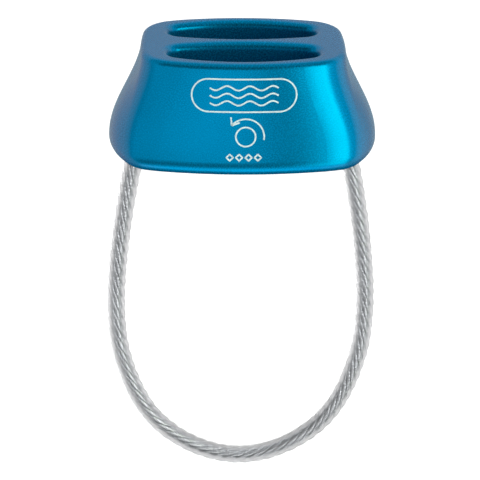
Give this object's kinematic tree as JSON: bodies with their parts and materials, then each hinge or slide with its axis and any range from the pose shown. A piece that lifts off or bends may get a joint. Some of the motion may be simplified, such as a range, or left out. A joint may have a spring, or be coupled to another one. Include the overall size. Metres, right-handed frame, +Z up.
{
  "type": "belay device",
  "caption": "Tube-style rope brake: flared anodised aluminium body with paired rope slots and a sheathed wire keeper loop hanging from the base",
  "frame": {"origin": "centre of the flat base face that bears on the carabiner", "axes": "+Z up along the rope slots, away from the keeper loop; +X along the slot length; the pictured front faces -Y"},
  "size_m": [0.0648, 0.0382, 0.1119],
  "materials": {
    "anodised_body": "satin blue anodised aluminium",
    "steel_wire": "bright twisted steel wire rope",
    "clear_plastic": "clear flexible plastic sheath",
    "crimp_metal": "swaged steel sleeve"
  },
  "bodies": {
    "body": {"belay_body": "anodised_body", "rope_end_left": "steel_wire", "rope_end_right": "steel_wire", "crimp_sleeve_left": "crimp_metal", "crimp_sleeve_right": "crimp_metal"},
    "keeper": {"wire_rope": "steel_wire", "clear_sheath": "clear_plastic"}
  },
  "joints": [
    {"name": "keeper_flex", "type": "hinge", "parent": "body", "child": "keeper", "pos_m": [0, 0, 0], "axis": [1, 0, 0], "range_deg": [-25, 25], "stiffness_Nm_per_rad": 0.05}
  ]
}
